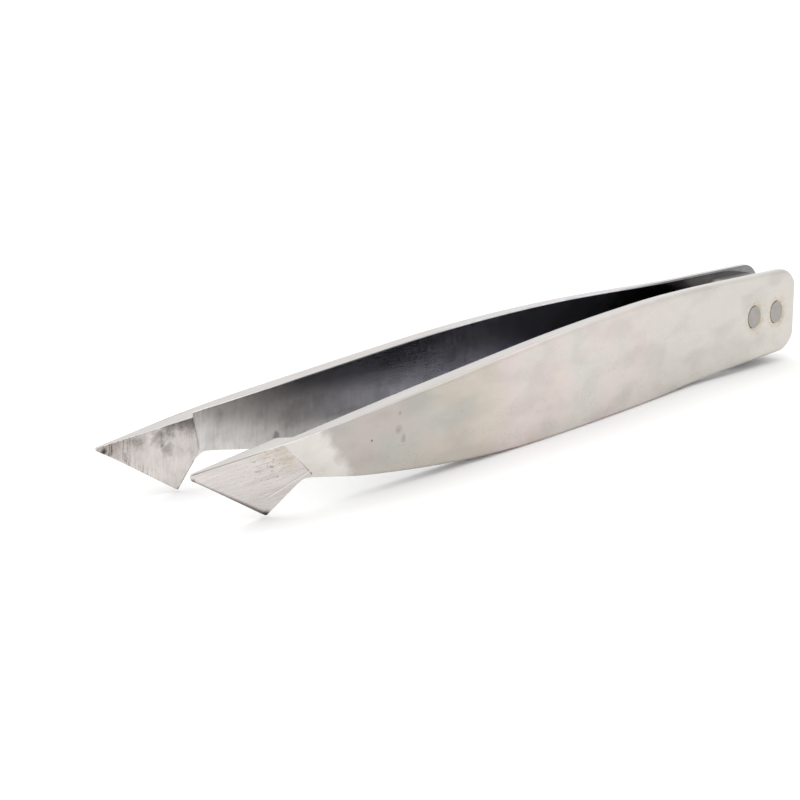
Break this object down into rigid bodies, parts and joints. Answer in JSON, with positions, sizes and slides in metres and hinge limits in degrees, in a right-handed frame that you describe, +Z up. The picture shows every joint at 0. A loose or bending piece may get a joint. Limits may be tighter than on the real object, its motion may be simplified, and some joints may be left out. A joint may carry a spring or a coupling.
{
  "type": "slant tweezers",
  "caption": "Steel slant tweezers: two springy leaf-shaped arms with slanted claw tips, joined at the tail by a welded filler block.",
  "frame": {"origin": "middle of the bounding box's bottom, with the tweezers lying on their edges", "axes": "+X from the tips to the tail, +Y from the left arm to the right arm, +Z up across the width of the arms"},
  "size_m": [0.091, 0.0144, 0.0104],
  "materials": {
    "arm_steel": "tumbled satin, ground claws",
    "filler_steel": "satin",
    "weld_steel": "dull, slightly heat tinted"
  },
  "bodies": {
    "tail": {"left_front_weld": "weld_steel", "left_rear_weld": "weld_steel", "left_spring": "arm_steel", "left_tail": "arm_steel", "right_front_weld": "weld_steel", "right_rear_weld": "weld_steel", "right_spring": "arm_steel", "right_tail": "arm_steel", "tail_filler": "filler_steel"},
    "left_arm": {"left_blade": "arm_steel"},
    "right_arm": {"right_blade": "arm_steel"}
  },
  "joints": [
    {"name": "right_squeeze", "type": "hinge", "parent": "tail", "child": "right_arm", "pos_m": [0.0185, 0.00331, 0.005], "axis": [0, 0, 1], "range_deg": [0, 5.15], "stiffness_Nm_per_rad": 2.5, "deforming": ["right_spring"]},
    {"name": "left_squeeze", "type": "hinge", "parent": "tail", "child": "left_arm", "pos_m": [0.0185, -0.00331, 0.005], "axis": [0, 0, -1], "range_deg": [0, 5.15], "stiffness_Nm_per_rad": 2.5, "deforming": ["left_spring"]}
  ],
  "couplings": [
    {"joint": "left_squeeze", "follows": "right_squeeze", "ratio": 1}
  ]
}
